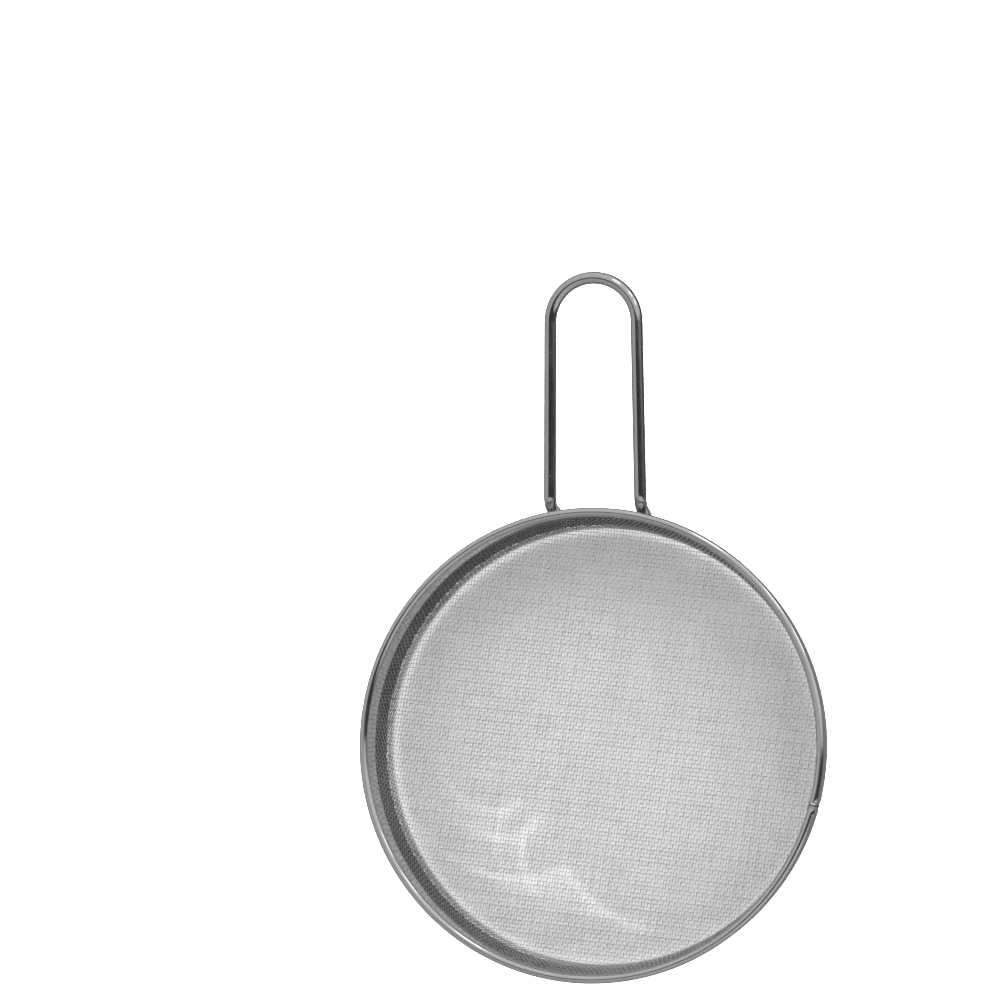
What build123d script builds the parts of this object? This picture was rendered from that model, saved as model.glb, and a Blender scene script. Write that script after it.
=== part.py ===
from build123d import *
from math import asin, atan2, cos, degrees, hypot, radians, sin, tan
import os

# Flat-bottomed wire-mesh strainer with a rolled steel rim and a bent wire handle.
# Millimetres. The origin is the centre of the flat underside, +Z is up out of the open pan,
# and the handle lies along +Y.

# ---- driving dimensions ----
rim_radius = 80.0  # outside of the rolled bead
pan_height = 28.3  # underside of the pan to the top of the bead
wall_slope = 13.5  # degrees that the free cloth leans inwards

sheet = 0.4  # steel strip of the rim band
core_diameter = 2.2  # room for the wire inside the bead
core_clearance = 0.02  # round the core wire
bead_wrap = 50.0  # degrees that the strip wraps below the core's widest point
neck_radius = 0.8  # bend where the bead turns into the outer leg
inner_leg = 10.0  # band inside the pan, below the core's centre
outer_leg = 18.8  # band outside the pan, below the core's centre

fine_wire = 0.3  # the fine cloth is two wires thick
support_wire = 0.35  # so is the support cloth
cloth_top = 2.0  # cloth edge below the core's centre, inside the fold
wall_bend = 6.0  # inside radius where the wall starts to lean
floor_bend = 1.6  # inside radius where the wall meets the floor

handle_wire = 4.3
leg_spacing = 31.3  # between the leg centres at the band
loop_width = 29.8  # between the leg centres at the loop
handle_reach = 160.0  # pan axis to the far edge of the loop
leg_drop = 6.0  # leg centre below the core's centre, at the band
tip_lift = 0.3  # loop's far end above the core's centre
elbow_radius = 5.0  # centre line of the bend down to the weld
tail_margin = 0.8  # cut end of the wire above the band's lower edge
wire_end_fillet = 0.5

weld_width = 6.4  # across the two beads of one wire end
weld_root = 0.8  # from the line where wire and band touch to the start of a bead
weld_stand = 1.2  # how far a bead climbs the wire
weld_height = 4.0  # along the wire
weld_margin = 0.7  # bead above the cut end of the wire
weld_clearance = 0.01  # off the wire and the band

seam_azimuth = -14.5  # degrees from +X, where the strip's ends meet
seam_gap = 0.4  # between the strip's ends, along the rim
seam_inset = 0.07  # weld below the strip's surface, each side

# ---- worked out from them ----
fine_cloth = 2 * fine_wire
support_cloth = 2 * support_wire
core_radius = core_diameter / 2
bead_radius = core_radius + sheet
bead_line = core_radius + sheet / 2
core_ring = rim_radius - bead_radius
core_z = pan_height - bead_radius
cloth_radius = core_ring - core_radius  # inner face of the fine cloth inside the fold
floor_z = fine_cloth + support_cloth  # upper face of the fine cloth on the floor
slope = radians(wall_slope)


def radial_plane(azimuth):
    """The half plane through the pan axis at an azimuth: x is the radius, y is the height."""
    turn = radians(azimuth)
    return Plane(origin=(0, 0, 0), x_dir=(cos(turn), sin(turn), 0), z_dir=(sin(turn), -cos(turn), 0))


def wall_corner(layer):
    """The corner where a layer, a distance outside the fine cloth's inner face, starts to lean."""
    return (cloth_radius + layer, core_z - inner_leg - (wall_bend + layer) * tan(slope / 2))


def wall_point(layer, z):
    """A point on the leaning part of a layer."""
    radius, corner_z = wall_corner(layer)
    return (radius - (corner_z - z) * tan(slope), z)


def cloth_line(layer):
    """One face of a cloth, from its edge in the fold down the wall to the pan axis."""
    z = floor_z - layer
    points = [(cloth_radius + layer, core_z - cloth_top), wall_corner(layer), wall_point(layer, z), (0, z)]
    return FilletPolyline(*points, radius=(wall_bend + layer, floor_bend + layer))


def band_line():
    """Draws the middle of the folded strip: short leg, bead round the core, neck, tall leg."""
    leg_layer = floor_z + sheet / 2  # the tall leg lies on the support cloth
    wrap = radians(bead_wrap)
    bead_end = (core_ring + bead_line * cos(wrap), core_z - bead_line * sin(wrap))
    neck_z = bead_end[1] - (bead_end[0] - cloth_radius - leg_layer) / tan(wrap)
    Line((core_ring - bead_line, core_z - inner_leg + sheet / 2), (core_ring - bead_line, core_z))
    CenterArc((core_ring, core_z), bead_line, 180, -180 - bead_wrap)
    FilletPolyline(
        bead_end,
        (cloth_radius + leg_layer, neck_z),
        wall_corner(leg_layer),
        wall_point(leg_layer, core_z - outer_leg),
        radius=(neck_radius, wall_bend + leg_layer),
    )


# ---- rim band: one strip folded over the cloth, its ends a seam apart ----
gap_angle = degrees(seam_gap / rim_radius)
with BuildPart() as rim_band:
    with BuildSketch(radial_plane(seam_azimuth + gap_angle / 2)):
        with BuildLine():
            band_line()
            offset(amount=sheet / 2)
        make_face()
    revolve(axis=Axis.Z, revolution_arc=360 - gap_angle)

# ---- seam weld: closes the strip's ring, a little below its surface ----
with BuildPart() as seam_weld:
    with BuildSketch(radial_plane(seam_azimuth - gap_angle / 2)):
        with BuildLine():
            band_line()
            offset(amount=sheet / 2 - seam_inset)
        make_face()
    revolve(axis=Axis.Z, revolution_arc=gap_angle)

# ---- core wire inside the bead ----
with BuildPart() as rim_core_wire:
    with BuildSketch(Plane.XZ):
        with Locations((core_ring, core_z)):
            Circle(core_radius - core_clearance)
    revolve(axis=Axis.Z)


# ---- cloths: each is one closed sheet, as thick as its two crossing wires ----
def cloth_outline(inner_layer, outer_layer):
    """Draws the section of a cloth between two of its layers."""
    inner = cloth_line(inner_layer)
    outer = cloth_line(outer_layer)
    Line(inner @ 0, outer @ 0)
    Line(inner @ 1, outer @ 1)


with BuildPart() as fine_mesh:
    with BuildSketch(Plane.XZ):
        with BuildLine():
            cloth_outline(0, fine_cloth)
        make_face()
    revolve(axis=Axis.Z)

with BuildPart() as support_mesh:
    with BuildSketch(Plane.XZ):
        with BuildLine():
            cloth_outline(fine_cloth, floor_z)
        make_face()
    revolve(axis=Axis.Z)

# ---- handle: one wire, up from one weld, round the loop and down to the other ----
band_face = floor_z + sheet  # layer of the band's outer face
tail_top = Vector(*wall_point(band_face + handle_wire / 2, core_z - leg_drop))
tail_end = core_z - outer_leg + tail_margin
tail_low = Vector(*wall_point(band_face + handle_wire / 2, tail_end))
leg_azimuth = asin(leg_spacing / 2 / tail_top.X)  # from +Y, the same for the whole tail
loop_radius = loop_width / 2
loop_y = handle_reach - handle_wire / 2 - loop_radius
elbow_y = tail_top.X * cos(leg_azimuth)
rise = (leg_drop + tip_lift) / (loop_y + loop_radius - elbow_y)
leg_lean = atan2(leg_spacing / 2, loop_y - elbow_y) - asin(
    loop_radius / hypot(leg_spacing / 2, loop_y - elbow_y)
)


def tail_point(point, side):
    return (side * point.X * sin(leg_azimuth), point.X * cos(leg_azimuth), point.Y)


def loop_point(side, along):
    """A point of the loop's plane, which rises from the band to the tip."""
    y = loop_y + loop_radius * along
    return (side * loop_radius * cos(leg_lean), y, core_z - leg_drop + (y - elbow_y) * rise)


def leg_points(side):
    """A leg's route: cut end, elbow corner, and where it runs into the loop."""
    return [tail_point(tail_low, side), tail_point(tail_top, side), loop_point(side, sin(leg_lean))]


with BuildPart() as handle:
    with BuildLine() as wire_line:
        right = FilletPolyline(*leg_points(1), radius=elbow_radius)
        left = FilletPolyline(*leg_points(-1), radius=elbow_radius)
        ThreePointArc(right @ 1, loop_point(0, 1), left @ 1)
    with BuildSketch(Plane(origin=right @ 0, z_dir=right % 0)):
        Circle(handle_wire / 2)
    sweep()
    fillet(handle.edges().filter_by(GeomType.CIRCLE).group_by(Axis.Z)[0], wire_end_fillet)

# ---- handle welds: a bead along each side of both wire ends ----
weld_low = Vector(*wall_point(band_face + weld_clearance, tail_end + weld_margin))
with BuildPart() as handle_welds:
    for side in (1, -1):
        across = (cos(leg_azimuth), -side * sin(leg_azimuth), 0)
        upward = Vector(*tail_point(tail_top, side)) - Vector(*tail_point(tail_low, side))
        with BuildSketch(Plane(origin=tail_point(weld_low, side), x_dir=across, z_dir=upward)):
            Trapezoid(weld_width, weld_stand, 45, align=(Align.CENTER, Align.MIN))
            Rectangle(2 * weld_root, weld_stand, align=(Align.CENTER, Align.MIN), mode=Mode.SUBTRACT)
            with Locations((0, handle_wire / 2)):
                Circle(handle_wire / 2 + weld_clearance, mode=Mode.SUBTRACT)
        extrude(amount=weld_height)

# ---- names and files ----
rim_band.part.label = "rim_band"
rim_core_wire.part.label = "rim_core_wire"
fine_mesh.part.label = "fine_mesh"
support_mesh.part.label = "support_mesh"
handle.part.label = "handle"
handle_welds.part.label = "handle_welds"
seam_weld.part.label = "seam_weld"

os.makedirs("parts", exist_ok=True)
export_step(rim_band.part, "parts/rim_band.step")
export_step(rim_core_wire.part, "parts/rim_core_wire.step")
export_step(fine_mesh.part, "parts/fine_mesh.step")
export_step(support_mesh.part, "parts/support_mesh.step")
export_step(handle.part, "parts/handle.step")
export_step(handle_welds.part, "parts/handle_welds.step")
export_step(seam_weld.part, "parts/seam_weld.step")
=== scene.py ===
from math import atan2, ceil, cos, pi, radians, sin, tan

import bpy
import numpy as np
from mathutils import Matrix, Vector


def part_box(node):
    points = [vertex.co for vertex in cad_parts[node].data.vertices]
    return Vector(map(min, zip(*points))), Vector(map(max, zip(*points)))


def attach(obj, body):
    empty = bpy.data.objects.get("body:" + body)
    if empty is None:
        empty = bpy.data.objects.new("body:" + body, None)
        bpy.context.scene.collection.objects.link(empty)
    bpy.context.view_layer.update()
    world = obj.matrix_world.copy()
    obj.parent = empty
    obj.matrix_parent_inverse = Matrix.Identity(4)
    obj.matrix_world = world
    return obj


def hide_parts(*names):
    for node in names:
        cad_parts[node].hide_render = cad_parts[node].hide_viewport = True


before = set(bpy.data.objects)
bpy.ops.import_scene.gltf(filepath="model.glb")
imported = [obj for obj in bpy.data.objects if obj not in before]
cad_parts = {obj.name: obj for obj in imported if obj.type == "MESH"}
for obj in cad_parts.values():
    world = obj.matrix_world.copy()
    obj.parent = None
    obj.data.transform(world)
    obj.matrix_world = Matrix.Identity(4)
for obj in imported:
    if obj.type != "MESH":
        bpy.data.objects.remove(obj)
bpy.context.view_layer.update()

# A flat-bottomed wire-mesh strainer: a polished steel band rolled over the edge of a woven
# pan, with a bent wire handle. Metres, in the frame of the CAD model: +Z up out of the pan,
# +Y along the handle, origin on the pan's underside. Shapes are worked out from the packed
# nodes' boxes and from the CAD's sheet, wire and bend sizes. The cloth's pitch, its knee and
# the band's curled hem were measured again for this script and differ from the CAD.

MM = 0.001
SEED = 4
random = np.random.default_rng(SEED)

# ---- sizes ----
SHEET = 0.4 * MM  # steel strip of the band
FINE_WIRE = 0.3 * MM
SUPPORT_WIRE = 0.35 * MM
INNER_LEG = 10.0 * MM  # band inside the pan, below the core's centre
OUTER_LEG = 18.8 * MM  # band outside the pan
BEAD_WRAP = radians(50)  # strip wrapped below the core's widest point
NECK_RADIUS = 0.8 * MM
WALL_SLOPE = radians(13.5)
WALL_BEND = 6.0 * MM
FLOOR_BEND = 1.6 * MM
SEAM_AZIMUTH = radians(-14.5)
KNEE_BEND = 8 * MM
HEM_BEND = 0.9 * MM  # the curl of the band's lower edge
HEM_RISE = 1.1 * MM  # where that curl starts, above the edge
HEM_GAP = 0.02 * MM  # between hem and cloth

_, band_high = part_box("rim_band")
core_low, core_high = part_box("rim_core_wire")

CORE_RADIUS = (core_high.z - core_low.z) / 2
CORE_Z = (core_high.z + core_low.z) / 2
BEAD_RADIUS = band_high.z - CORE_Z
CORE_RING = (core_high.x - core_low.x) / 2 - CORE_RADIUS
BEAD_LINE = BEAD_RADIUS - SHEET / 2
CLOTH_RADIUS = CORE_RING - BEAD_LINE + SHEET / 2
FLOOR_Z = 2 * FINE_WIRE + 2 * SUPPORT_WIRE  # the fine cloth's upper face


# ---- the pan's section, as radius and height ----
def rounded(points, radii, step=0.15 * MM):
    """Points of a line with its corners rounded, and the unit normals on its left side."""
    line = [np.array(points[0], float)]
    for before, corner, after, radius in zip(points, points[1:], points[2:], radii):
        before, corner, after = (np.array(p, float) for p in (before, corner, after))
        into = (corner - before) / np.linalg.norm(corner - before)
        out = (after - corner) / np.linalg.norm(after - corner)
        turn = atan2(into[0] * out[1] - into[1] * out[0], into @ out)
        reach = radius * tan(abs(turn) / 2)
        side = np.array([-into[1], into[0]]) * np.sign(turn)
        centre = corner - into * reach + side * radius
        count = max(3, ceil(radius * abs(turn) / step))
        for i in range(count + 1):
            a = turn * i / count
            spoke = -side * radius
            line.append(centre + np.array([cos(a) * spoke[0] - sin(a) * spoke[1],
                                           sin(a) * spoke[0] + cos(a) * spoke[1]]))
    line.append(np.array(points[-1], float))
    return np.array(line)


def wall_corner(layer):
    return (CLOTH_RADIUS + layer, CORE_Z - INNER_LEG - (WALL_BEND + layer) * tan(WALL_SLOPE / 2))


def wall_point(layer, z):
    radius, corner_z = wall_corner(layer)
    return (radius - (corner_z - z) * tan(WALL_SLOPE), z)


KNEE_RADIUS = 74.75 * MM  # fine cloth's inner face at the outer leg's lower edge
KNEE_Z = CORE_Z - OUTER_LEG


def leaning_wall(layer):
    """The wall as it shows: pressed in by the outer leg down to its edge, then nearly upright."""
    corner = wall_corner(layer)
    knee = (KNEE_RADIUS + layer, KNEE_Z)
    foot = (wall_point(0, FLOOR_Z)[0] + layer, FLOOR_Z - layer)
    return corner, knee, foot


CLOTH_TOP = CORE_Z - 6.5 * MM  # cloth hidden in the fold above this is left out


def cloth_section(layer):
    """A layer of cloth from the pan axis outwards, as points and their distance along it."""
    corner, knee, foot = leaning_wall(layer)
    points = [(0, foot[1]), foot, knee, corner, (CLOTH_RADIUS + layer, CLOTH_TOP)]
    line = rounded(points, (FLOOR_BEND + layer, KNEE_BEND, WALL_BEND + layer))
    if layer > 2 * FINE_WIRE:  # the support cloth stops where the outer leg starts
        line = line[line[:, 1] < KNEE_Z - 0.3 * MM]
    along = np.concatenate([[0], np.cumsum(np.hypot(*np.diff(line, axis=0).T))])
    return line, along


# ---- mesh helpers ----
def new_mesh(name, points, faces, smooth=True):
    """An object from points and faces, given as arrays that may mix sizes."""
    mesh = bpy.data.meshes.new(name)
    mesh.from_pydata(np.asarray(points).tolist(), [], [list(map(int, f)) for f in faces])
    mesh.polygons.foreach_set("use_smooth", [smooth] * len(mesh.polygons))
    mesh.update()
    piece = bpy.data.objects.new(name, mesh)
    bpy.context.scene.collection.objects.link(piece)
    return piece


def quad_mesh(name, points, quads):
    """An object of quads only, made fast from arrays."""
    mesh = bpy.data.meshes.new(name)
    mesh.vertices.add(len(points))
    mesh.vertices.foreach_set("co", np.asarray(points, np.float32).ravel())
    mesh.loops.add(quads.size)
    mesh.loops.foreach_set("vertex_index", np.asarray(quads, np.int32).ravel())
    mesh.polygons.add(len(quads))
    mesh.polygons.foreach_set("loop_start", np.arange(0, quads.size, 4, dtype=np.int32))
    mesh.polygons.foreach_set("use_smooth", np.ones(len(quads), bool))
    mesh.update(calc_edges=True)
    mesh.validate()
    piece = bpy.data.objects.new(name, mesh)
    bpy.context.scene.collection.objects.link(piece)
    return piece


def tube_frames(path):
    """Two unit vectors across a path at each of its points, turned as little as possible."""
    ahead = np.gradient(path, axis=0)
    ahead /= np.linalg.norm(ahead, axis=1)[:, None]
    side = np.empty_like(path)
    first = np.cross(ahead[0], [0, 0, 1.0])
    if np.linalg.norm(first) < 0.1:
        first = np.cross(ahead[0], [1.0, 0, 0])
    side[0] = first / np.linalg.norm(first)
    for i in range(1, len(path)):
        s = side[i - 1] - ahead[i] * (side[i - 1] @ ahead[i])
        side[i] = s / np.linalg.norm(s)
    return side, np.cross(side, ahead)


# ---- materials ----
def material(name, colour, roughness, metal=1.0):
    """A material with a Principled shader, and its node tree and shader to build on."""
    made = bpy.data.materials.new(name)
    made.use_nodes = True
    shader = made.node_tree.nodes["Principled BSDF"]
    shader.inputs["Base Color"].default_value = (*colour, 1)
    shader.inputs["Metallic"].default_value = metal
    shader.inputs["Roughness"].default_value = roughness
    return made, made.node_tree, shader


def node(tree, kind, **values):
    """A new node, with its properties and unlinked inputs set."""
    made = tree.nodes.new(kind)
    for key, value in values.items():
        if hasattr(made, key):
            setattr(made, key, value)
        else:
            made.inputs[key.replace("_", " ")].default_value = value
    return made


def noise(tree, vector, scale, detail=3.0, rough=0.5):
    made = node(tree, "ShaderNodeTexNoise", Scale=scale, Detail=detail, Roughness=rough)
    tree.links.new(vector, made.inputs["Vector"])
    return made.outputs["Fac"]


def between(tree, value, low, high, to_low, to_high):
    """A value mapped from one range to another, clamped."""
    made = node(tree, "ShaderNodeMapRange")
    for key, number in zip(("From Min", "From Max", "To Min", "To Max"), (low, high, to_low, to_high)):
        made.inputs[key].default_value = number
    tree.links.new(value, made.inputs["Value"])
    return made.outputs["Result"]


def maths(tree, operation, a, b=None):
    made = node(tree, "ShaderNodeMath", operation=operation)
    for socket, value in zip(made.inputs, (a, b)):
        if value is None:
            continue
        if isinstance(value, (int, float)):
            socket.default_value = value
        else:
            tree.links.new(value, socket)
    return made.outputs[0]


def tinted(tree, factor, dark, light):
    """A colour between two, by a factor."""
    made = node(tree, "ShaderNodeMix", data_type="RGBA")
    tree.links.new(factor, made.inputs["Factor"])
    made.inputs["A"].default_value = (*dark, 1)
    made.inputs["B"].default_value = (*light, 1)
    return made.outputs["Result"]


def bumped(tree, shader, height, strength, distance):
    made = node(tree, "ShaderNodeBump", Strength=strength, Distance=distance)
    tree.links.new(height, made.inputs["Height"])
    tree.links.new(made.outputs["Normal"], shader.inputs["Normal"])


def stretched(tree, scale):
    """The object's own coordinates, stretched by a scale along each axis."""
    place = node(tree, "ShaderNodeTexCoord")
    mapping = node(tree, "ShaderNodeMapping")
    mapping.inputs["Scale"].default_value = scale
    tree.links.new(place.outputs["Object"], mapping.inputs["Vector"])
    return mapping.outputs["Vector"]


def round_the_axis(tree, turns, rise):
    """Coordinates wrapped round the pan axis: angle, height and radius, for rolled strip."""
    place = node(tree, "ShaderNodeTexCoord")
    split = node(tree, "ShaderNodeSeparateXYZ")
    tree.links.new(place.outputs["Object"], split.inputs[0])
    angle = maths(tree, "ARCTAN2", split.outputs["Y"], split.outputs["X"])
    square = maths(tree, "ADD", maths(tree, "POWER", split.outputs["X"], 2.0),
                   maths(tree, "POWER", split.outputs["Y"], 2.0))
    radius = maths(tree, "SQRT", square)
    join = node(tree, "ShaderNodeCombineXYZ")
    tree.links.new(maths(tree, "MULTIPLY", angle, turns), join.inputs["X"])
    tree.links.new(maths(tree, "MULTIPLY", split.outputs["Z"], rise), join.inputs["Y"])
    tree.links.new(maths(tree, "MULTIPLY", radius, rise), join.inputs["Z"])
    return join.outputs["Vector"]


def band_material():
    """Polished rolled strip: fine lines round the pan, faint smears and a few scratches."""
    made, tree, shader = material("rolled_steel", (0.6, 0.6, 0.59), 0.2)
    lines = noise(tree, round_the_axis(tree, 6.0, 9000.0), 1.0, 4.0, 0.6)
    smears = noise(tree, stretched(tree, (1, 1, 1)), 60.0, 5.0, 0.6)
    scratches = noise(tree, round_the_axis(tree, 60.0, 2500.0), 1.0, 2.0)
    wear = between(tree, scratches, 0.66, 0.72, 0.0, 0.12)
    haze = between(tree, smears, 0.35, 0.7, 0.05, 0.13)
    fine = between(tree, lines, 0.3, 0.7, 0.0, 0.03)
    rough = maths(tree, "ADD", maths(tree, "ADD", haze, fine), wear)
    tree.links.new(rough, shader.inputs["Roughness"])
    tree.links.new(tinted(tree, smears, (0.4, 0.4, 0.39), (0.54, 0.54, 0.535)), shader.inputs["Base Color"])
    bumped(tree, shader, maths(tree, "ADD", lines, maths(tree, "MULTIPLY", scratches, 0.5)), 0.06, 0.00002)
    return made


def fold_material():
    """The strip's side in the fold: near-black painted shade with darker and lighter blotches."""
    made, tree, shader = material("steel_in_painted_shade", (0.06, 0.06, 0.06), 0.5)
    blotches = noise(tree, stretched(tree, (1, 1, 1)), 260.0, 5.0, 0.65)
    fold_shade_mix = between(tree, blotches, 0.35, 0.7, 0, 1)
    scale = tinted(tree, fold_shade_mix, (0.03, 0.03, 0.03), (0.13, 0.13, 0.125))
    tree.links.new(scale, shader.inputs["Base Color"])
    tree.links.new(between(tree, blotches, 0.3, 0.7, 0.4, 0.65), shader.inputs["Roughness"])
    bumped(tree, shader, blotches, 0.3, 0.00005)
    return made


def handle_material():
    """Drawn and polished wire: fine lines along it, with handling scratches."""
    made, tree, shader = material("drawn_wire", (0.6, 0.6, 0.59), 0.16)
    lines = noise(tree, stretched(tree, (9000, 150, 9000)), 1.0, 3.0)
    smears = noise(tree, stretched(tree, (1, 1, 1)), 90.0, 5.0, 0.6)
    nicks = noise(tree, stretched(tree, (900, 2600, 900)), 1.0, 1.0)
    haze = between(tree, smears, 0.35, 0.7, 0.05, 0.12)
    rough = maths(tree, "ADD", haze, between(tree, lines, 0.3, 0.7, 0, 0.03))
    rough = maths(tree, "ADD", rough, between(tree, nicks, 0.7, 0.76, 0.0, 0.15))
    tree.links.new(rough, shader.inputs["Roughness"])
    steel = tinted(tree, smears, (0.38, 0.38, 0.375), (0.48, 0.48, 0.475))
    tree.links.new(steel, shader.inputs["Base Color"])
    bumped(tree, shader, lines, 0.05, 0.00002)
    return made


def cloth_material(name, dark, light, rough):
    """Woven wire: painted highlight on down slopes to +X or +Y, painted thrown light and fold shade."""
    made, tree, shader = material(name, light, rough, 0.55)
    patches = noise(tree, stretched(tree, (1, 1, 1)), 120.0, 4.0, 0.6)
    grain = noise(tree, stretched(tree, (1, 1, 1)), 5200.0, 2.0)

    def mark(label):
        return node(tree, "ShaderNodeAttribute", attribute_name=label).outputs["Fac"]

    wear_and_painted_light = maths(tree, "ADD", maths(tree, "MULTIPLY", patches, 0.5), maths(tree, "MULTIPLY", grain, 0.3))
    # painted highlight on the slopes down to +X or +Y, from the slope mark
    wear_and_painted_light = maths(tree, "ADD", wear_and_painted_light, maths(tree, "MULTIPLY", mark("slope"), 0.4))
    # thrown light painted into the colour
    wear_and_painted_light = maths(tree, "ADD", wear_and_painted_light, maths(tree, "MULTIPLY", mark("thrown"), 0.3))
    plain = tinted(tree, between(tree, wear_and_painted_light, 0.0, 0.75, 0, 1), dark, light)
    # painted shade in the fold: darker colours blended in by the fold mark
    fold_shade_mix = node(tree, "ShaderNodeMix", data_type="RGBA")
    tree.links.new(mark("painted_fold_shade"), fold_shade_mix.inputs["Factor"])
    tree.links.new(plain, fold_shade_mix.inputs["A"])
    tree.links.new(tinted(tree, between(tree, wear_and_painted_light, 0.1, 0.8, 0, 1), (0.16, 0.16, 0.16), (0.6, 0.6, 0.6)),
                   fold_shade_mix.inputs["B"])
    tree.links.new(fold_shade_mix.outputs["Result"], shader.inputs["Base Color"])
    tree.links.new(between(tree, grain, 0.3, 0.7, rough - 0.06, rough + 0.1), shader.inputs["Roughness"])
    bumped(tree, shader, grain, 0.15, 0.00002)
    return made


def weld_material(name, dark, light):
    """Weld metal: matt, with straw and blue heat tint that fades out."""
    made, tree, shader = material(name, light, 0.5)
    spots = noise(tree, stretched(tree, (1, 1, 1)), 900.0, 4.0, 0.7)
    tint = noise(tree, stretched(tree, (1, 1, 1)), 350.0, 2.0)
    ramp = node(tree, "ShaderNodeValToRGB")
    ramp.color_ramp.elements[0].position = 0.35
    ramp.color_ramp.elements[0].color = (*dark, 1)
    ramp.color_ramp.elements[1].position = 0.65
    ramp.color_ramp.elements[1].color = (*light, 1)
    tree.links.new(tint, ramp.inputs["Fac"])
    tree.links.new(ramp.outputs["Color"], shader.inputs["Base Color"])
    tree.links.new(between(tree, spots, 0.3, 0.7, 0.35, 0.65), shader.inputs["Roughness"])
    bumped(tree, shader, spots, 0.5, 0.0001)
    return made


# ---- rim band ----
def band_line():
    """The middle of the folded strip, from the inner leg's edge over the bead to the outer's."""
    leg_layer = FLOOR_Z + SHEET / 2
    end = np.array([CORE_RING + BEAD_LINE * cos(BEAD_WRAP), CORE_Z - BEAD_LINE * sin(BEAD_WRAP)])
    neck = (CLOTH_RADIUS + leg_layer, end[1] - (end[0] - CLOTH_RADIUS - leg_layer) / tan(BEAD_WRAP))
    inner = np.linspace([CORE_RING - BEAD_LINE, CORE_Z - INNER_LEG + SHEET / 2],
                        [CORE_RING - BEAD_LINE, CORE_Z], 24)[:-1]
    turns = np.linspace(pi, -BEAD_WRAP, 44)
    bead = np.stack([CORE_RING + BEAD_LINE * np.cos(turns), CORE_Z + BEAD_LINE * np.sin(turns)], 1)
    hem = leaning_wall(2 * FINE_WIRE + SHEET / 2 + HEM_GAP)[1]  # its edge is curled in onto the cloth
    outer = rounded([end, neck, wall_corner(leg_layer), wall_point(leg_layer, hem[1] + HEM_RISE),
                     (hem[0], hem[1] + SHEET / 2)], (NECK_RADIUS, WALL_BEND + leg_layer, HEM_BEND), 0.12 * MM)
    dense = [outer[0]]
    for a, b in zip(outer, outer[1:]):
        count = max(1, ceil(np.linalg.norm(b - a) / (0.6 * MM)))
        dense += [a + (b - a) * (i + 1) / count for i in range(count)]
    return np.concatenate([inner, bead, dense[1:]])


def strip_outline(line, thickness):
    """The closed outline of a strip about its middle line, with round edges."""
    ahead = np.gradient(line, axis=0)
    ahead /= np.linalg.norm(ahead, axis=1)[:, None]
    left = np.stack([-ahead[:, 1], ahead[:, 0]], 1)
    half = thickness / 2

    def cap(centre, start):
        turns = start - np.linspace(0, pi, 7)[1:-1]
        return np.stack([centre[0] + half * np.cos(turns), centre[1] + half * np.sin(turns)], 1)

    end_turn = atan2(left[-1][1], left[-1][0])
    start_turn = atan2(-left[0][1], -left[0][0])
    return np.concatenate([line + left * half, cap(line[-1], end_turn),
                           (line - left * half)[::-1], cap(line[0], start_turn)])


def rolled_ring(name, outline, start, end, steps, wobble):
    """An outline in radius and height swept round the pan axis between two azimuths."""
    turns = np.linspace(start, end, steps + 1)
    n = len(outline)
    rings = []
    for a in turns:
        sway, lift = wobble(a, outline)
        radius = outline[:, 0] + sway
        rings.append(np.stack([radius * cos(a), radius * sin(a), outline[:, 1] + lift], 1))
    points = np.concatenate(rings)
    i = np.arange(steps)[:, None] * n
    j = np.arange(n)[None, :]
    k = (j + 1) % n
    quads = np.stack([i + j, i + n + j, i + n + k, i + k], -1).reshape(-1, 4)
    caps = [list(range(n))[::-1], list(range(steps * n, steps * n + n))]
    faces = quads[:, ::-1].tolist() + [c[::-1] for c in caps]
    return new_mesh(name, points, faces)


def rim_wobble(a, outline):
    """Slight waves that rolling leaves in the strip, none at the bead's very top."""
    low = np.clip((CORE_Z - outline[:, 1]) / OUTER_LEG, 0, 1)
    wave = 0.05 * MM * (sin(3 * a + 0.7) + 0.6 * sin(7 * a + 2.1) + 0.4 * sin(13 * a))
    ripple = 0.012 * MM * (sin(31 * a + 1.0) + sin(47 * a))
    off = (a - SEAM_AZIMUTH + pi) % (2 * pi) - pi
    dent = np.exp(-(off * CORE_RING / (1.1 * MM)) ** 2)
    lip = np.exp(-((abs(off) * CORE_RING - 2.0 * MM) / (0.8 * MM)) ** 2)
    sway = (wave + ripple) * low * 0.6 + (0.1 * lip - 0.3 * dent) * MM
    return sway, (0.02 * sin(5 * a + 0.4) - 0.22 * dent) * MM * np.ones(len(outline))


SEAM_GAP = 0.4 * MM / band_high.x
BAND_STEPS = 540


def make_band():
    outline = strip_outline(band_line(), SHEET)
    band = rolled_ring("rim_band_rolled", outline, SEAM_AZIMUTH + SEAM_GAP / 2,
                       SEAM_AZIMUTH + 2 * pi - SEAM_GAP / 2, BAND_STEPS, rim_wobble)
    band.data.materials.append(band_material())
    band.data.materials.append(fold_material())
    # inside the fold and behind the cloth the strip gets the near-black fold material, as painted shade
    for face in band.data.polygons:
        outward = Vector((face.center.x, face.center.y, 0)).normalized()
        low = face.center.z < CORE_Z - INNER_LEG - 0.2 * MM
        if low and face.normal.dot(outward) < -0.3:
            face.material_index = 1
    return band


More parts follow.
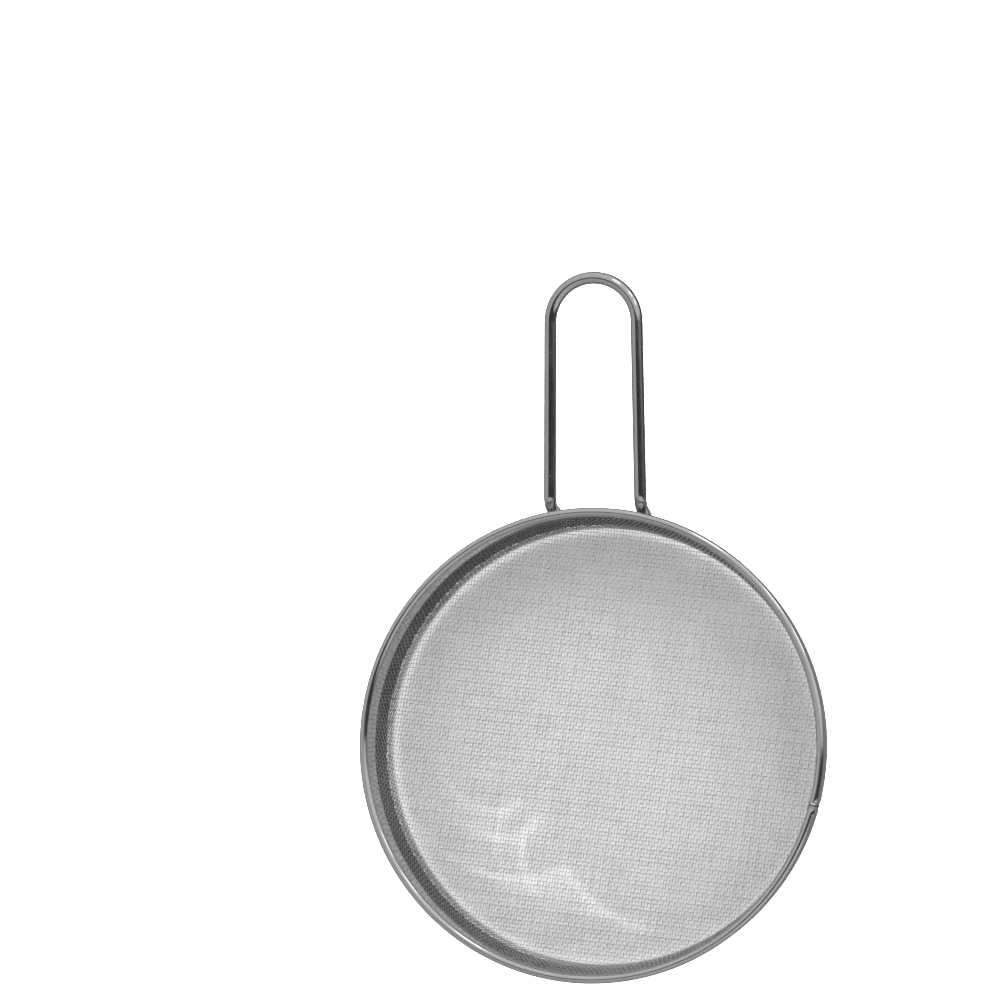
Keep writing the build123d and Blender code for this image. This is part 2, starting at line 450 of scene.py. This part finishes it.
# ---- woven cloth ----
WARP_PITCH = 1.02 * MM  # between the wires that run nearly along the handle
WEFT_PITCH = 1.385 * MM
WARP_LEAN = radians(9.4)  # of the warp from +Y towards +X
WEFT_LEAN = radians(6.1)  # of the weft from +X towards -Y
GRID = 260  # cells across the pan for the thrown light
SIDES = 6  # of a cloth wire
WIRE_DRIFT = 0.12 * MM
SUPPORT_EVERY = 3  # fine wires to one support wire
SUPPORT_SHIFT = -0.13 * MM  # of the support cloth along X
FOLD_SHADE_START, FOLD_SHADE_REACH = 1.2 * MM, 2.2 * MM  # height above the pan's floor where the painted fold shade starts, and to its full strength
FOLD_SHADE_SIDE = radians(115)
RAYS_ROUND, RAYS_DOWN = 3000, 90  # places on the inner leg where thrown light is traced
WINDOW_HALF = radians(1.1)  # half a window's width as the pan sees it
WINDOWS = (  # azimuth, rise, strength
    (radians(72), radians(37), 1.0),
    (radians(47), radians(30), 0.6),
    (radians(33), radians(31), 0.45),
)


def thrown_light():
    """Light that the polished inner leg throws on the floor of the pan, as a grid from 0 to 1.

    Rays from each window hit the upright inner leg, turn back and cross, and where they crowd
    together they leave pale cusped curves on the cloth.
    """
    radius = CLOTH_RADIUS - SHEET
    total = np.zeros((GRID, GRID))
    for azimuth, rise, strength in WINDOWS:
        spread = np.linspace(-1, 1, 9)
        hit = np.linspace(-0.5, 0.5, RAYS_ROUND) * pi + azimuth + pi
        drops = np.linspace(CORE_Z - INNER_LEG, CORE_Z, RAYS_DOWN) - FLOOR_Z
        for part in spread:
            a = azimuth + part * WINDOW_HALF
            beam = np.array([-cos(a), -sin(a)])
            outward = np.stack([np.cos(hit), np.sin(hit)], 1)
            facing_it = outward @ beam
            back = beam - 2 * facing_it[:, None] * outward
            for drop in drops / tan(rise):
                land = radius * outward + back * drop
                grid, _, _ = np.histogram2d(land[:, 0], land[:, 1], GRID, [[-radius, radius]] * 2,
                                            weights=np.maximum(facing_it, 0))
                total += strength * grid
    kernel = np.exp(-0.5 * (np.arange(-4, 5) / 1.1) ** 2)
    kernel /= kernel.sum()
    for axis in (0, 1):
        total = np.apply_along_axis(lambda row: np.convolve(row, kernel, "same"), axis, total)
    return np.clip(total / np.percentile(total[total > 0], 98.5), 0, 1) ** 1.1


def thrown_light_at(u, v, thrown):
    """The thrown light at places on the cloth's floor, for painting into colours."""
    radius = CLOTH_RADIUS - SHEET
    i = np.clip(((u / radius + 1) / 2 * GRID).astype(int), 0, GRID - 1)
    j = np.clip(((v / radius + 1) / 2 * GRID).astype(int), 0, GRID - 1)
    return thrown[i, j]


def warped(u, v, amount):
    """Wires drift a little from their straight lines, together with their neighbours."""
    du = amount * (np.sin(u * 61 + v * 23 + 1.3) + 0.7 * np.sin(v * 47 - u * 131 + 0.4)
                   + 0.5 * np.sin(u * 311 + 2.0 + 0.6 * np.sin(v * 40)))
    dv = amount * (np.sin(v * 71 - u * 19 + 2.6) + 0.7 * np.sin(u * 53 + v * 117)
                   + 0.4 * np.sin(v * 283 + 0.9))
    return u + du, v + dv


def on_pan(u, v, lift, section):
    """Maps a flat cloth to the pan: distance from the centre becomes distance along its section."""
    line, along = section
    s = np.hypot(u, v)
    radius = np.interp(s, along, line[:, 0])
    z = np.interp(s, along, line[:, 1])
    ahead = np.gradient(line, axis=0)
    ahead /= np.linalg.norm(ahead, axis=1)[:, None]
    out_r = np.interp(s, along, -ahead[:, 1])
    out_z = np.interp(s, along, ahead[:, 0])
    radius = radius + lift * out_r
    z = z + lift * out_z
    safe = np.maximum(s, 1e-9)
    return np.stack([radius * u / safe, radius * v / safe, z], -1)


def wire_places(reach, pitch, jitter=0.05):
    """Where a direction's wires lie across it, not quite evenly."""
    count = 3 * (int(reach / pitch / 3) + 2)
    index = np.arange(-count, count + 1)
    slow = np.convolve(random.normal(0, 1, len(index) + 8), np.ones(9) / 9, "valid")
    return index * pitch + pitch * jitter * (random.normal(0, 0.6, len(index)) + 1.5 * slow)


def weave(name, section, wire, places, groups, mat, thrown, shift=0.0):
    """Plain woven cloth: every wire of both directions as a tube that goes over and under."""
    reach = section[1][-1]
    a = np.array([sin(WARP_LEAN), cos(WARP_LEAN)])
    b = np.array([cos(WEFT_LEAN), -sin(WEFT_LEAN)])
    # across the warp the wires are a warp pitch apart, so steps along the weft are longer
    skew = cos(WARP_LEAN - WEFT_LEAN)
    made = []
    ways = ((places[0], places[1], a, b), (places[1], places[0], b, a))
    for way, (mine, other, along, across) in enumerate(ways):
        shapes = {g: ([], [], [], [], []) for g in range(groups)}
        for i, m in enumerate(mine):
            # a point at each crossing and one halfway, so that the slopes between show
            steps = np.empty(2 * len(other) - 1)
            steps[::2] = other / skew
            steps[1::2] = (steps[:-1:2] + steps[2::2]) / 2
            over = np.zeros(len(steps))
            over[::2] = np.where((np.arange(len(other)) + i + way) % 2 == 0, 1.0, -1.0)
            u = m / skew * across[0] + steps * along[0]
            v = m / skew * across[1] + steps * along[1]
            keep = np.hypot(u, v) < reach
            if keep.sum() < 4:
                continue
            u, v, over = u[keep], v[keep], over[keep]
            u, v = warped(u, v, WIRE_DRIFT)
            path = on_pan(u + shift, v, over * wire / 2, section)
            side, up = tube_frames(path)
            turns = 2 * pi * np.arange(SIDES) / SIDES
            ring = (path[:, None, :] + wire / 2 * (side[:, None, :] * np.cos(turns)[None, :, None]
                                                   + up[:, None, :] * np.sin(turns)[None, :, None]))
            group = min(groups - 1, int(groups * i / len(mine)))
            points, quads, thrown_lit, slopes, fold_shade_marks = shapes[group]
            base = sum(len(p) for p in points)
            n = len(path)
            r = np.arange(n - 1)[:, None] * SIDES + base
            c = np.arange(SIDES)[None, :]
            d = (c + 1) % SIDES
            quads.append(np.stack([r + c, r + d, r + SIDES + d, r + SIDES + c], -1).reshape(-1, 4))
            for end, flip in ((base, False), (base + (n - 1) * SIDES, True)):
                cap = np.array([[end, end + 1, end + 2, end + 3], [end, end + 3, end + 4, end + 5]])
                quads.append(cap if flip else cap[:, ::-1])
            points.append(ring.reshape(-1, 3))
            downhill = np.zeros(len(over))
            downhill[:-1] = over[:-1] - over[1:]
            downhill[1:] += over[:-1] - over[1:]
            downhill *= 0.5  # +1 midway down a slope towards +X or +Y, -1 midway up one; the down slopes get a painted highlight
            # thrown light, painted into the cloth's colour
            thrown_lit.append(np.repeat(thrown_light_at(u, v, thrown), SIDES))
            slopes.append(np.repeat(downhill, SIDES))
            rise = path[:, 2] - FLOOR_Z
            # painted fold shade: most near the handle, a little to its left, and least opposite
            share = 0.78 + 0.22 * np.cos(np.arctan2(v, u) - FOLD_SHADE_SIDE)
            fold_shade_marks.append(np.repeat(np.clip((rise - FOLD_SHADE_START) / FOLD_SHADE_REACH, 0, 1) * share, SIDES))
        for g, (points, quads, *marks) in shapes.items():
            piece_name = f"{name}_{('warp', 'weft')[way]}_{g + 1}"
            piece = quad_mesh(piece_name, np.concatenate(points), np.concatenate(quads))
            for label, values in zip(("thrown", "slope", "painted_fold_shade"), marks):
                mark = piece.data.attributes.new(label, "FLOAT", "POINT")
                mark.data.foreach_set("value", np.concatenate(values).astype(np.float32))
            piece.data.materials.append(mat)
            made.append(piece)
    return made


def make_cloths(thrown):
    section = cloth_section(FINE_WIRE)
    places = [wire_places(section[1][-1], pitch) for pitch in (WARP_PITCH, WEFT_PITCH)]
    fine = weave("fine_cloth", section, FINE_WIRE, places, 4,
                 cloth_material("fine_wire_cloth", (0.46, 0.46, 0.46), (1.0, 1.0, 0.99), 0.3), thrown)
    # the support cloth is painted near white, lighter than the fine cloth, to offset the shade that the fine
    # cloth casts on it
    support = weave("support_cloth", cloth_section(2 * FINE_WIRE + SUPPORT_WIRE), SUPPORT_WIRE,
                    [p[::SUPPORT_EVERY] for p in places], 1,
                    cloth_material("support_wire_cloth", (0.9, 0.9, 0.9), (1.0, 1.0, 0.99), 0.35), thrown * 0,
                    SUPPORT_SHIFT)
    return fine, support


# ---- scene ----
band = make_band()
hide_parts("rim_band")
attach(band, "root")

thrown_marks = thrown_light()
fine, support = make_cloths(thrown_marks)
for piece in fine:
    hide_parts("fine_mesh")
    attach(piece, "root")
for piece in support:
    piece.visible_shadow = False  # they showed as lines through the fine cloth
    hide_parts("support_mesh")
    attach(piece, "root")

wire_steel = handle_material()
weld_steel = weld_material("weld_metal", (0.2, 0.19, 0.2), (0.46, 0.43, 0.39))
seam_steel = weld_material("seam_metal", (0.05, 0.05, 0.055), (0.16, 0.15, 0.14))
for name, steel in (("handle", wire_steel), ("handle_welds", weld_steel), ("seam_weld", seam_steel),
                    ("rim_core_wire", wire_steel)):
    cad = bpy.data.objects[name]
    for s in cad.material_slots:
        s.material = steel
    if not cad.material_slots:
        cad.data.materials.append(steel)

# ---- floor ----
# floor level to the camera under the pan, a painted shadow, and in the open, and what the painted thrown
# light adds
SHADED, OPEN, THROWN = 1.64, 6.0, 0.3
DISC_SHIFT = 0.0055  # of the shaded disc towards -X
DISC_EDGE = (0.0785, 0.0805)  # radii between which its shade ends
MIRRORED_UNDER, MIRRORED_OPEN = 1.35, 0.6  # floor level to every other ray
MIRRORED_DROP = 0.45  # how much darker that is on the right
FINE_PAPER, PAPER_CELLS = 0.085, 340  # half width of the finely divided part


def floor_material():
    """Paper that the camera sees pure white in the open and grey under the pan, a painted shadow.

    Its levels pass 1, more than paper can reflect, to match the photo's cut-out background.
    """
    made, tree, shader = material("pale_floor", (0.4, 0.4, 0.4), 1.0, 0.0)
    place = node(tree, "ShaderNodeTexCoord")
    split = node(tree, "ShaderNodeSeparateXYZ")
    tree.links.new(place.outputs["Object"], split.inputs[0])
    off_centre = maths(tree, "ADD", split.outputs["X"], DISC_SHIFT)
    radius = maths(tree, "SQRT", maths(tree, "ADD", maths(tree, "POWER", off_centre, 2.0),
                                       maths(tree, "POWER", split.outputs["Y"], 2.0)))
    lit = node(tree, "ShaderNodeAttribute", attribute_name="thrown").outputs["Fac"]
    shade = between(tree, radius, *DISC_EDGE, SHADED, OPEN)
    white = maths(tree, "ADD", shade, maths(tree, "MULTIPLY", lit, THROWN))
    seen = node(tree, "ShaderNodeLightPath").outputs["Is Camera Ray"]
    grain = between(tree, noise(tree, place.outputs["Object"], 400.0), 0.3, 0.7, 0.97, 1.0)
    # the photo's polished wire is darker on this side, so the floor that it mirrors is too
    right = maths(tree, "MULTIPLY", between(tree, split.outputs["X"], 0.0, 0.05, 0.0, MIRRORED_DROP),
                  between(tree, split.outputs["Y"], 0.07, 0.09, 0.3, 1.0))
    beyond = maths(tree, "SUBTRACT", MIRRORED_OPEN, right)
    under = between(tree, radius, *DISC_EDGE, 1.0, 0.0)
    paper_white = maths(tree, "ADD", maths(tree, "MULTIPLY", under, MIRRORED_UNDER),
                        maths(tree, "MULTIPLY", maths(tree, "SUBTRACT", 1.0, under), beyond))
    level = maths(tree, "ADD", paper_white, maths(tree, "MULTIPLY", seen,
                                                  maths(tree, "SUBTRACT", white, paper_white)))
    paper = node(tree, "ShaderNodeBsdfDiffuse")
    join = node(tree, "ShaderNodeCombineXYZ")
    for axis in "XYZ":
        tree.links.new(maths(tree, "MULTIPLY", level, grain), join.inputs[axis])
    tree.links.new(join.outputs["Vector"], paper.inputs["Color"])
    tree.links.new(paper.outputs[0], tree.nodes["Material Output"].inputs["Surface"])
    tree.nodes.remove(shader)
    return made


def make_floor(thrown):
    """A big sheet of paper, finely divided under the pan, where the thrown light falls through and is painted
    on.
    """
    fine_part = np.linspace(-FINE_PAPER, FINE_PAPER, PAPER_CELLS + 1)
    line = np.concatenate([[-3, -0.5], fine_part, [0.5, 3]])
    x, y = np.meshgrid(line, line, indexing="ij")
    n = len(line)
    points = np.stack([x, y, np.full_like(x, -0.02 * MM)], -1).reshape(-1, 3)
    i = np.arange(n - 1)[:, None] * n + np.arange(n - 1)[None, :]
    quads = np.stack([i, i + n, i + n + 1, i + 1], -1).reshape(-1, 4)
    made = quad_mesh("floor", points, quads)
    lit = thrown_light_at(points[:, 0], points[:, 1], thrown) * (np.hypot(points[:, 0], points[:, 1]) < CLOTH_RADIUS)
    made.data.attributes.new("thrown", "FLOAT", "POINT").data.foreach_set("value", lit.astype(np.float32))
    made.data.materials.append(floor_material())
    return made


make_floor(thrown_marks)

# ---- light ----
SKY, SKY_FRONT_BACK, SKY_LEFT_RIGHT = 0.8, 0.22, 0.18  # level, and its change along Y and X
SKY_SEEN = 1.1  # level to the camera
BEAM_DARK, BEAM_FAR = 0.92, 0.7  # how dark the shape overhead is, and its far part beside that
WINDOW_SIZE = (0.2, 0.4)
WINDOW_POWER = 1.15

world = bpy.data.worlds.new("studio")
bpy.context.scene.world = world
world.use_nodes = True
tree = world.node_tree
background = tree.nodes["Background"]
background.inputs["Color"].default_value = (1, 1, 1, 1)
place = node(tree, "ShaderNodeTexCoord")
split = node(tree, "ShaderNodeSeparateXYZ")
tree.links.new(place.outputs["Generated"], split.inputs[0])
across = maths(tree, "ARCTAN2", split.outputs["X"], split.outputs["Z"])
along_y = maths(tree, "ARCSINE", split.outputs["Y"])


def angle_window(value, low, high, soft):
    """1 where an angle is between two limits in degrees, with a soft edge."""
    up = between(tree, value, radians(low - soft), radians(low + soft), 0, 1)
    down = between(tree, value, radians(high - soft), radians(high + soft), 1, 0)
    return maths(tree, "MULTIPLY", up, down)


# a dark shape overhead, inferred from the dark line that the rim and the handle mirror
near = maths(tree, "MULTIPLY", angle_window(across, -20, 96, 3), angle_window(along_y, -17, 0.2, 1.5))
far = maths(tree, "MULTIPLY", angle_window(across, 62, 96, 4), angle_window(along_y, -25, 8, 3))
beam = maths(tree, "MAXIMUM", near, maths(tree, "MULTIPLY", far, BEAM_FAR))
along_pan = maths(tree, "MULTIPLY", split.outputs["Y"], SKY_FRONT_BACK)
across_pan = maths(tree, "MULTIPLY", split.outputs["X"], SKY_LEFT_RIGHT)
soft_light = maths(tree, "ADD", maths(tree, "ADD", SKY, along_pan), across_pan)
clear = maths(tree, "SUBTRACT", 1.0, maths(tree, "MULTIPLY", beam, BEAM_DARK))
level = maths(tree, "MULTIPLY", soft_light, clear)
seen = node(tree, "ShaderNodeLightPath").outputs["Is Camera Ray"]
level = maths(tree, "ADD", maths(tree, "MULTIPLY", level, maths(tree, "SUBTRACT", 1.0, seen)),
              maths(tree, "MULTIPLY", seen, SKY_SEEN))
tree.links.new(level, background.inputs["Strength"])


def softbox(name, azimuth, rise, size, power, away=1.6):
    data = bpy.data.lights.new(name, "AREA")
    data.shape = "RECTANGLE"
    data.size, data.size_y = size
    data.energy = power
    made = bpy.data.objects.new(name, data)
    made.location = Vector((cos(azimuth) * cos(rise), sin(azimuth) * cos(rise), sin(rise))) * away
    made.rotation_euler = (-made.location).to_track_quat("-Z", "Y").to_euler()
    bpy.context.scene.collection.objects.link(made)


for i, (azimuth, rise, strength) in enumerate(WINDOWS):
    softbox(f"window_{i + 1}", azimuth, rise, WINDOW_SIZE, WINDOW_POWER * strength)

# ---- camera ----
VIEW_RIGHT = radians(12.006)  # line of sight to the rim's centre, from the pan axis
VIEW_FRONT = radians(-0.753)
DISTANCE = 1.5
AIM = Vector((-0.03168, 0.08268, CORE_Z))  # where the camera's axis meets the rim plane
ROLL = radians(0.529)
camera_data = bpy.data.cameras.new("camera")
camera = bpy.data.objects.new("camera", camera_data)
bpy.context.scene.collection.objects.link(camera)
camera_data.lens = 160.38
camera_data.sensor_width = 36
camera_data.clip_start, camera_data.clip_end = 0.05, 20
sight = Vector((tan(VIEW_RIGHT), tan(VIEW_FRONT), 1)).normalized()
camera.location = Vector((0, 0, CORE_Z)) + sight * DISTANCE
back = (camera.location - AIM).normalized()
right = Vector((0, 1, 0)).cross(back).normalized()
turn = Matrix((right, back.cross(right), back)).transposed().to_4x4()
camera.rotation_mode = "QUATERNION"
camera.rotation_quaternion = (turn @ Matrix.Rotation(ROLL, 4, "Z")).to_quaternion()
bpy.context.scene.camera = camera
bpy.context.scene.view_settings.view_transform = "Standard"
